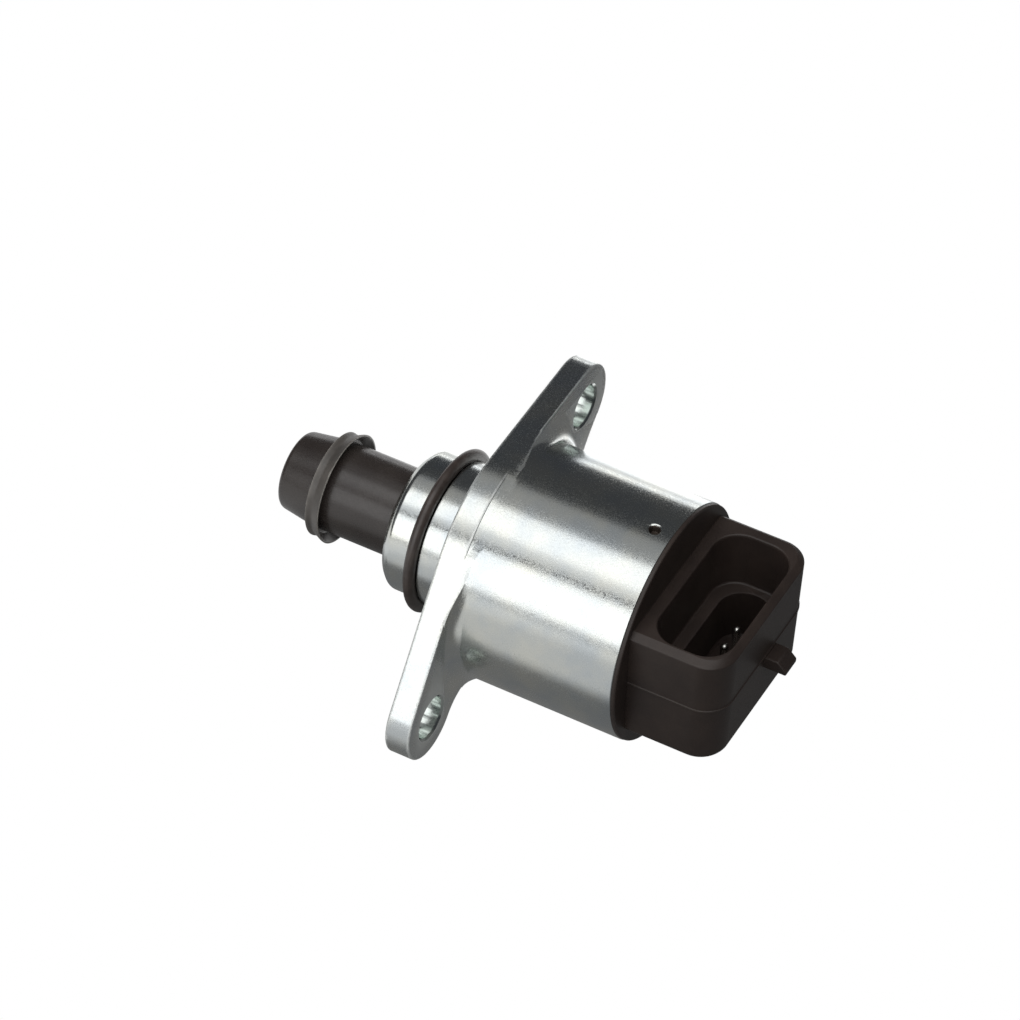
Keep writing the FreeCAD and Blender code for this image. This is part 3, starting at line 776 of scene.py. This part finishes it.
    def build(self) -> bpy.types.Object:
        """Make the piece.

        Returns:
            The housing.
        """
        flange = prism(self.flange_outline(), 0.0, self.flange, self.rim)
        relief = lathe(self.relief())
        half_step = Matrix.Rotation(math.pi / FINE, 3, "X")
        bmesh.ops.rotate(relief, verts=relief.verts, cent=(0, 0, 0), matrix=half_step)
        flange = combine(flange, relief, Solve.CUT)
        body = combine(lathe(self.shell_profile()), flange, Solve.JOIN)
        for side in (1, -1):
            body = combine(body, self.drill(side), Solve.CUT)
            outline = self.ear_outline(side, self.run_out)
            block = prism(outline, self.flange - 1.0, self.flange + self.root + 1.0)
            root = combine(lathe(self.root_ring()), block, Solve.SHARED)
            body = combine(body, root, Solve.JOIN)
            body = combine(body, self.dimple(side), Solve.CUT)
        bmesh.ops.remove_doubles(body, verts=body.verts, dist=WELD)
        piece = finish_mesh("plated_housing", body)
        dress(piece, ZINC_PLATE, "housing", "zinc_steel", "valve_housing")
        for finish in (PUNCHED_STEEL, ZINC_BORE):
            piece.data.materials.append(finish.make())
        for face in piece.data.polygons:
            face.material_index = self._finish_at(face)
        return piece

    def _finish_at(self, face: bpy.types.MeshPolygon) -> int:
        """Which finish a face has: plating, the punch mark's bare steel darkened with painted shade, or the
        holes' smooth plating.
        """
        x, y, z = (v / MM for v in face.center)
        y -= AXIS_Y
        reach = min((Vector((y, z)) - self.hole(side)).length for side in (1, -1))
        if x < self.flange and reach < self.bolt_radius + 0.28:
            return 2
        depth = self.radius - math.hypot(y, z)
        near_mark = abs(x - self.length + self.dimple_setback) < 1.0
        return 1 if near_mark and 0.12 < depth < 1.3 and face.area < 1e-6 else 0


@dataclass
class Seals:
    """The rubber ring in the spigot's groove.

    Attributes:
        station: Station of its section's middle.
        centre_radius: Radius of that middle.
        half_width: Half of the section's size along X.
        half_height: Half of the section's size across X.
        points: Number of points round the section.
    """

    station: float = -6.375
    centre_radius: float = 11.15
    half_width: float = 0.8
    half_height: float = 1.05
    points: int = 28

    def build(self) -> bpy.types.Object:
        """Make the ring.

        Returns:
            The ring.
        """
        profile = []
        for step in range(self.points):
            angle = math.tau * step / self.points
            x = self.station + self.half_width * math.cos(angle)
            profile.append((x, self.centre_radius + self.half_height * math.sin(angle)))
        piece = finish_mesh("seal_ring", lathe(profile))
        return dress(piece, SEAL_RUBBER, "housing", "seal_rubber", "spigot_seal_ring")


@dataclass
class Pintle:
    """Cone, neck and hollow stem, with the lip ring snapped on the neck.

    Attributes:
        tip: Station of the cone's tip.
        neck: Station of the front of the neck.
        stem: Station of the front of the stem.
        rear: Station of the stem's rear end.
        hollow: Station of the end of the hollow in the stem.
        tip_radius: Radius of the cone at its tip.
        cone_radius: Radius of the cone at the neck.
        neck_radius: Radius of the neck.
        stem_radius: Radius of the stem.
        hollow_radius: Radius of the hollow.
        ring_x: Front and rear of the lip ring.
        ring_radius: Radius of the ring's front edge.
        lip_radius: Radius of the ring's lip.
    """

    tip: float = -30.9
    neck: float = -25.6
    stem: float = -24.1
    rear: float = -6.2
    hollow: float = -21.0
    tip_radius: float = 5.75
    cone_radius: float = 6.55
    neck_radius: float = 5.9
    stem_radius: float = 6.6
    hollow_radius: float = 5.3
    ring_x: Point = (-25.1, -22.8)
    ring_radius: float = 7.8
    lip_radius: float = 8.2

    def build(self) -> List[bpy.types.Object]:
        """Make both pieces.

        Returns:
            The pintle and its lip ring.
        """
        moulding = [
            (self.tip, 0.0, 0.0),
            (self.tip, self.tip_radius, 0.75),
            (self.neck, self.cone_radius, 0.12),
            (self.neck, self.neck_radius, 0.0),
            (self.stem, self.neck_radius, 0.0),
            (self.stem, self.stem_radius, 0.1),
            (self.rear, self.stem_radius, 0.15),
            (self.rear, self.hollow_radius, 0.1),
            (self.hollow, self.hollow_radius, 0.3),
            (self.hollow, 0.0, 0.0),
        ]
        pintle = finish_mesh("pintle_moulding", lathe(soften(moulding, 6)))
        front, rear = self.ring_x
        inside = self.neck_radius + 0.02
        ring = [
            (front, inside, 0.0),
            (front, self.ring_radius, 0.07),
            (front + 0.9, self.ring_radius - 0.2, 0.3),
            (rear - 0.3, self.lip_radius - 0.08, 0.1),
            (rear, self.lip_radius, 0.06),
            (rear, self.lip_radius - 0.25, 0.05),
            (self.stem, 7.0, 0.2),
            (self.stem, inside, 0.0),
        ]
        lip = finish_mesh("lip_ring", lathe(soften(ring, 5)))
        return [
            dress(pintle, PINTLE_ACETAL, "pintle", "pintle_plastic", "pintle"),
            dress(lip, LIP_PLASTIC, "pintle", "lip_plastic", "pintle_lip_ring"),
        ]


@dataclass
class ConnectorCap:
    """Plug, round flange and connector block in one moulding.

    Attributes:
        front: Station where the block starts inside the flange.
        top_end: Station of the rear face at the top.
        foot_end: Station of the rear face at the bottom.
        half_width: Half of the block's width.
        top: Height of the top.
        bottom: Height of the bottom.
        corner: Radius of the two rear corners.
        seam: Height of the parting line.
        chamfer: Width of the chamfer round the top.
        foot_round: Rounding round the bottom.
        mouth_x: Front and rear of the mouth.
        mouth_y: Near and far side of the mouth.
        mouth_corner: Corner radius of the mouth.
        ledge: Height of the ledge inside the mouth.
        pocket_x: Front and rear of the pocket with the pins.
        pocket_y: Near and far side of the pocket.
        floor: Height of the pocket's floor.
        flare: How much the mouth widens at its rim.
        plug_front: Station of the plug's front.
        plug_radius: Radius of the plug.
        groove: Front and rear of the groove for the cap's seal.
        groove_floor: Radius of that groove's floor.
        rim: Front and rear of the round flange.
        rim_radius: Radius of the round flange.
        nub_x: Front and rear of the nub.
        nub_y: Near and far side of the nub.
        nub_z: Bottom and top of the nub.
        nub_slope: Size of the nub's slope.
    """

    front: float = 28.8
    top_end: float = 43.35
    foot_end: float = 42.75
    half_width: float = 13.7
    top: float = 9.9
    bottom: float = -9.05
    corner: float = 4.2
    seam: float = 0.65
    chamfer: float = 0.85
    foot_round: float = 1.0
    mouth_x: Point = (31.05, 42.0)
    mouth_y: Point = (-12.2, 11.1)
    mouth_corner: float = 4.0
    ledge: float = 0.7
    pocket_x: Point = (33.0, 40.7)
    pocket_y: Point = (-10.9, 9.8)
    floor: float = -7.65
    flare: float = 0.3
    plug_front: float = 22.6
    plug_radius: float = 15.48
    groove: Point = (23.9, 25.9)
    groove_floor: float = 13.86
    rim: Point = (28.6, 29.2)
    rim_radius: float = 17.4
    nub_x: Point = (42.2, 46.3)
    nub_y: Point = (0.3, 3.7)
    nub_z: Point = (-1.85, 0.2)
    nub_slope: float = 1.3

    def ring(self, x: Point, y: Point, z: float, radii: Point) -> List[Vector]:
        """One level of the moulding: a rectangle with rounded corners.

        Args:
            x: Front and rear station.
            y: Near and far side.
            z: Height.
            radii: Corner radius at the front and at the rear.

        Returns:
            Its corners, the same number for every level.
        """
        steps = 14
        corners = (
            (x[0] + radii[0], y[0] + radii[0], radii[0], 180.0),
            (x[1] - radii[1], y[0] + radii[1], radii[1], 270.0),
            (x[1] - radii[1], y[1] - radii[1], radii[1], 0.0),
            (x[0] + radii[0], y[1] - radii[0], radii[0], 90.0),
        )
        points = []
        for cx, cy, radius, start in corners:
            for step in range(steps + 1):
                angle = math.radians(start + 90.0 * step / steps)
                points.append(Vector((cx + radius * math.cos(angle), cy + radius * math.sin(angle), z)))
        return points

    def outside(self, z: float, grow: float = 0.0) -> List[Vector]:
        """Outline of the block at one height."""
        share = (z - self.bottom) / (self.top - self.bottom)
        end = self.foot_end + share * (self.top_end - self.foot_end)
        half = self.half_width + grow
        return self.ring((self.front, end + grow), (-half, half), z, (0.02, self.corner + grow))

    def levels(self) -> List[List[Vector]]:
        """All levels from the bottom, up the outside, and down the hollow to its floor."""
        foot, cut, flare = self.foot_round, self.chamfer, self.flare
        loops = []
        for turn in (math.radians(22.5 * step) for step in range(5)):
            rise = foot * (1 - math.cos(turn))
            loops.append(self.outside(self.bottom + rise, -foot * (1 - math.sin(turn))))
        for z, grow in ((-0.22, 0.0), (-0.12, 0.12), (0.12, 0.12), (0.22, 0.0)):
            loops.append(self.outside(self.seam + z, grow))
        for drop, grow in (
            (cut + 0.1, 0.0),
            (cut, -0.02),
            (cut - 0.1, -0.1),
            (0.3, 0.26 - cut),
            (0.13, 0.02 - cut),
            (0.03, -0.1 - cut),
            (0.0, -0.17 - cut),
        ):
            loops.append(self.outside(self.top - drop, grow))
        for drop, grow in ((0.0, flare), (0.12, flare * 0.45), (flare + 0.2, 0.0)):
            loops.append(self._mouth(self.top - drop, grow))
        for turn in (math.radians(30.0 * step) for step in range(4)):
            loops.append(self._mouth(self.ledge + 0.35 * (1 - math.sin(turn)), -0.35 * (1 - math.cos(turn))))
        for turn in (math.radians(45.0 * step) for step in range(3)):
            loops.append(self._pocket(self.ledge - 0.25 * (1 - math.cos(turn)), 0.25 * (1 - math.sin(turn))))
        loops.append(self._pocket(self.floor + 0.3, 0.0))
        loops.append(self._pocket(self.floor, -0.3))
        return loops

    def _mouth(self, z: float, grow: float) -> List[Vector]:
        """Outline of the mouth at one height."""
        (x1, x2), (y1, y2) = self.mouth_x, self.mouth_y
        radius = self.mouth_corner + grow
        return self.ring((x1 - grow, x2 + grow), (y1 - grow, y2 + grow), z, (radius, radius))

    def _pocket(self, z: float, grow: float) -> List[Vector]:
        """Outline of the pocket with the pins at one height."""
        (x1, x2), (y1, y2) = self.pocket_x, self.pocket_y
        radius = (x2 - x1) / 2 - 0.05 + grow
        return self.ring((x1 - grow, x2 + grow), (y1 - grow, y2 + grow), z, (radius, radius))

    def plug(self) -> bmesh.types.BMesh:
        """The round flange and the plug inside the can, with their bores."""
        front, rear = self.groove
        seat, back = self.rim
        corners = [
            (self.plug_front, 6.0, 0.0),
            (self.plug_front, self.plug_radius, 0.1),
            (front, self.plug_radius, 0.0),
            (front, self.groove_floor, 0.0),
            (rear, self.groove_floor, 0.0),
            (rear, self.plug_radius, 0.0),
            (seat, self.plug_radius, 0.0),
            (seat, self.rim_radius, 0.05),
            (back, self.rim_radius, 0.3),
            (back, 0.0, 0.0),
            (seat, 0.0, 0.0),
            (seat, 3.4, 0.0),
            (28.1, 3.4, 0.0),
            (28.1, 4.4, 0.0),
            (26.2, 4.4, 0.0),
            (26.2, 6.0, 0.0),
        ]
        return lathe(soften(corners))

    def nub(self) -> bmesh.types.BMesh:
        """The sloped nub that the plug's clip snaps over."""
        (front, rear), (low, high) = self.nub_x, self.nub_z
        slope = [(rear, high - self.nub_slope), (rear - self.nub_slope, high)]
        outline = [(front, low), (rear, low), *slope, (front, high)]
        bm, _ = loft([[Vector((x, y, z)) for x, z in outline] for y in self.nub_y])
        _round_edges(bm, list(bm.edges), 0.22)
        return bm

    def build(self) -> bpy.types.Object:
        """Make the cap.

        Returns:
            The cap.
        """
        block, _ = loft(self.levels())
        body = combine(self.plug(), block, Solve.JOIN)
        body = combine(body, self.nub(), Solve.JOIN)
        bmesh.ops.remove_doubles(body, verts=body.verts, dist=WELD)
        piece = finish_mesh("connector_moulding", body)
        return dress(piece, BLACK_NYLON, "housing", "black_nylon", "connector_cap")


@dataclass
class InnerWorks:
    """Solids of the frame whose shape is right and which only get their finish."""

    finishes: Tuple[Tuple[Finish, str], ...] = (
        (BUSH_PLASTIC, "guide_bush key_sleeve rotor_hub"),
        (SCREW_STEEL, "lead_screw"),
        (BEARING_STEEL, "bearing_outer_race bearing_inner_race bearing_balls"),
        (BOBBIN_PLASTIC, "bearing_cage bobbin_1 bobbin_2"),
        (FERRITE, "rotor_magnet"),
        (STATOR_STEEL, "pole_plate_1 pole_plate_2 pole_cup_1 pole_cup_2"),
        (COPPER_WIRE, "winding_1 winding_2"),
        (BRONZE, "rear_bush"),
        (SPRING_STEEL, "wave_washer"),
        (SEAL_RUBBER, "cap_seal_ring"),
        (TINNED_BRASS, "terminal_1 terminal_2 terminal_3 terminal_4"),
    )

    def dress(self) -> None:
        """Give each solid its finish."""
        for finish, names in self.finishes:
            for name in names.split():
                self._cover(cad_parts[name], finish.make())
                LOG.info("%s: finish %s", name, finish.name)

    def _cover(self, solid: bpy.types.Object, material: bpy.types.Material) -> None:
        """Put a material in every slot of a solid."""
        for held in solid.material_slots:
            held.material = material
        if not solid.material_slots:
            solid.data.materials.append(material)


@dataclass(frozen=True)
class SoftBox:
    """A long soft light that runs along X, at an angle in the plane across the valve.

    Attributes:
        name: Name of the light.
        low: Lower edge in degrees, from +Y by way of +Z.
        high: Upper edge in degrees.
        radiance: How bright its face is.
        length: Length along X in metres.
        shift: Place of its middle along X in metres.
        distance: Distance from the object in metres.
        mirrored: Whether glossy surfaces show it.
    """

    name: str
    low: float
    high: float
    radiance: float
    length: float = 1.6
    shift: float = 0.0
    distance: float = 1.0
    mirrored: bool = True

    def build(self) -> bpy.types.Object:
        """Make the light.

        Returns:
            The light.
        """
        light = bpy.data.lights.new(self.name, "AREA")
        light.shape = "RECTANGLE"
        light.size = self.length
        light.size_y = 2 * self.distance * math.tan(math.radians(self.high - self.low) / 2)
        light.energy = 4.0 * light.size * light.size_y * self.radiance
        lamp = bpy.data.objects.new(self.name, light)
        angle = math.radians((self.low + self.high) / 2)
        away = Vector((0, math.cos(angle), math.sin(angle)))
        side = away.cross(ALONG)
        turn = Matrix((ALONG, side, away)).transposed().to_4x4()
        middle = away * self.distance + ALONG * self.shift
        lamp.matrix_world = Matrix.Translation(middle) @ turn
        lamp.visible_camera = False
        lamp.visible_glossy = self.mirrored
        bpy.context.scene.collection.objects.link(lamp)
        return lamp


@dataclass
class Studio:
    """Pale floor, backdrop, soft lights and camera.

    Attributes:
        azimuth: Camera's angle about Z in degrees.
        elevation: Camera's height in degrees.
        roll: Camera's roll in degrees.
        focal: Focal length in pixels.
        width: Width of the picture in pixels.
        target: A point of the object in millimetres.
        target_pixel: Where that point shows.
        scale: Pixels to a millimetre at that point.
        boxes: The soft lights.
    """

    azimuth: float = 27.71
    elevation: float = 44.59
    roll: float = 1.85
    focal: float = 4710.0
    width: int = 1020
    target: Tuple[float, float, float] = (17.148, 0.95, 0.0)
    target_pixel: Tuple[float, float] = (596.66, 591.62)
    scale: float = 7.243
    boxes: Tuple[SoftBox, ...] = (
        SoftBox("overhead_box", 92.0, 118.0, 1.2),
        SoftBox("seam_box", 118.0, 128.5, 0.65),
        SoftBox("front_box", 134.5, 171.0, 1.3),
        SoftBox("back_low", -3.0, 6.0, 1.3, 0.7, -0.5),
        SoftBox("back_wing", 66.0, 92.0, 0.22),
        SoftBox("front_low", 171.5, 196.0, 0.42),
        SoftBox("fill_box", 62.0, 118.0, 1.1, mirrored=False),
    )

    def camera(self) -> bpy.types.Object:
        """Make the camera at the photograph's place.

        Returns:
            The camera.
        """
        az, el, roll = (math.radians(v) for v in (self.azimuth, self.elevation, self.roll))
        back = Vector((math.sin(az) * math.cos(el), -math.cos(az) * math.cos(el), math.sin(el)))
        right = Vector((math.cos(az), math.sin(az), 0))
        up = back.cross(right)
        right, up = (
            right * math.cos(roll) + up * math.sin(roll),
            up * math.cos(roll) - right * math.sin(roll),
        )
        distance = self.focal / self.scale
        middle = self.width / 2
        over = (self.target_pixel[0] - middle) / self.scale
        down = (self.target_pixel[1] - middle) / self.scale
        place = Vector(self.target) - right * over + up * down + back * distance
        data = bpy.data.cameras.new("camera")
        data.sensor_width = 36.0
        data.sensor_fit = "HORIZONTAL"
        data.lens = self.focal * data.sensor_width / self.width
        data.clip_start = 0.01
        data.clip_end = 20.0
        turn = Matrix((right, up, back)).transposed().to_4x4()
        eye = bpy.data.objects.new("camera", data)
        eye.matrix_world = Matrix.Translation(place * MM) @ turn
        bpy.context.scene.collection.objects.link(eye)
        bpy.context.scene.camera = eye
        return eye

    def sheet(self, name: str, z: float, size: float) -> bpy.types.Object:
        """A level square sheet."""
        bm = bmesh.new()
        bmesh.ops.create_grid(bm, x_segments=1, y_segments=1, size=size / 2)
        bmesh.ops.translate(bm, verts=bm.verts, vec=(0, 0, z))
        return place_mesh(name, bm)

    def glow(self, name: str) -> Tuple[bpy.types.Material, bpy.types.NodeTree, bpy.types.Node]:
        """A white glowing material, its tree and its emission node."""
        material = bpy.data.materials.new(name)
        material.use_nodes = True
        tree = material.node_tree
        tree.nodes.clear()
        light = add_node(tree, "ShaderNodeEmission", {"Color": linear("#FFFFFF"), "Strength": 1.0})
        add_node(tree, "ShaderNodeOutputMaterial", {"Surface": light.outputs["Emission"]})
        return material, tree, light

    def bounce(self) -> bpy.types.Material:
        """The table as the object mirrors it, a glowing sheet with painted light and shade: bright far off,
        pale in front, with a painted shadow round the valve.
        """
        material, tree, light = self.glow("table_bounce")
        place = add_node(tree, "ShaderNodeTexCoord").outputs["Object"]
        parts = add_node(tree, "ShaderNodeSeparateXYZ", {"Vector": place})
        height, width = parts.outputs["X"], parts.outputs["Y"]
        # The dark band in the middle of these ramps is a painted shadow of the valve on the table.
        front = ((0.0, 0.39), (0.367, 0.39), (0.4, 0.11), (0.52, 0.11))
        by_nose = self._ramp(tree, width, front + ((0.56, 1.0),))
        by_cap = self._ramp(tree, width, front + ((0.56, 0.068),))
        behind = self._ramp(tree, height, ((0.0, 0.0), (0.52, 0.0), (0.55, 1.0)))
        mixed = _scaled(tree, behind, 0.0, 1.0, by_nose, by_cap)
        reach = self._ramp(tree, height, ((0.0, 0.0), (0.35, 0.0), (0.4, 1.0), (0.56, 1.0), (0.6, 0.0)))
        near = _scaled(tree, reach, 0.0, 1.0, 0.1, mixed)
        far_left = self._ramp(tree, height, ((0.0, 0.4), (0.35, 0.4), (0.4, 0.0)))
        strength = _reckon(tree, "MULTIPLY", _reckon(tree, "ADD", near, far_left), 1.6)
        tree.links.new(strength, light.inputs["Strength"])
        return material

    def _ramp(self, tree, value, stops: Sequence[Point]):
        """A grey ramp over 300 mm of the table, centred under the valve."""
        ramp = add_node(tree, "ShaderNodeValToRGB", {"Fac": _scaled(tree, value, -0.15, 0.15)})
        elements = ramp.color_ramp.elements
        while len(elements) < len(stops):
            elements.new(0.5)
        for element, (position, level) in zip(elements, stops):
            element.position = position
            element.color = (level, level, level, 1.0)
        return ramp.outputs["Color"]

    def floor(self, z: float) -> None:
        """Lay the pale floor that the camera sees and the table that the object mirrors.

        Args:
            z: Height of the floor in metres.
        """
        seen = self.sheet("floor", z, 12.0)
        seen.data.materials.append(self.glow("white_paper")[0])
        mirrored = self.sheet("table", z - 0.0005, 12.0)
        mirrored.data.materials.append(self.bounce())
        mirrored.visible_camera = False
        bm = bmesh.new()
        bmesh.ops.create_icosphere(bm, subdivisions=3, radius=9.0)
        backdrop = place_mesh("backdrop", bm)
        backdrop.data.materials.append(seen.data.materials[0])
        for piece in (seen, backdrop):
            for ray in ("diffuse", "glossy", "transmission", "shadow"):
                setattr(piece, "visible_" + ray, False)

    def world(self) -> None:
        """A dark room round the lights."""
        world = bpy.data.worlds.new("studio")
        world.use_nodes = True
        world.node_tree.nodes["Background"].inputs["Color"].default_value = (0.05, 0.052, 0.056, 1.0)
        world.node_tree.nodes["Background"].inputs["Strength"].default_value = 1.0
        bpy.context.scene.world = world

    def build(self, z: float) -> None:
        """Set everything up.

        Args:
            z: Height of the floor in metres.
        """
        self.world()
        self.floor(z)
        for box in self.boxes:
            box.build()
        self.camera()
        bpy.context.scene.view_settings.view_transform = "Standard"


def main() -> None:
    """Build the valve and its studio."""
    Housing().build()
    Seals().build()
    Pintle().build()
    ConnectorCap().build()
    InnerWorks().dress()
    Studio().build(CAD_BOX[0].z - 0.0003)


if __name__ == "__main__":
    main()
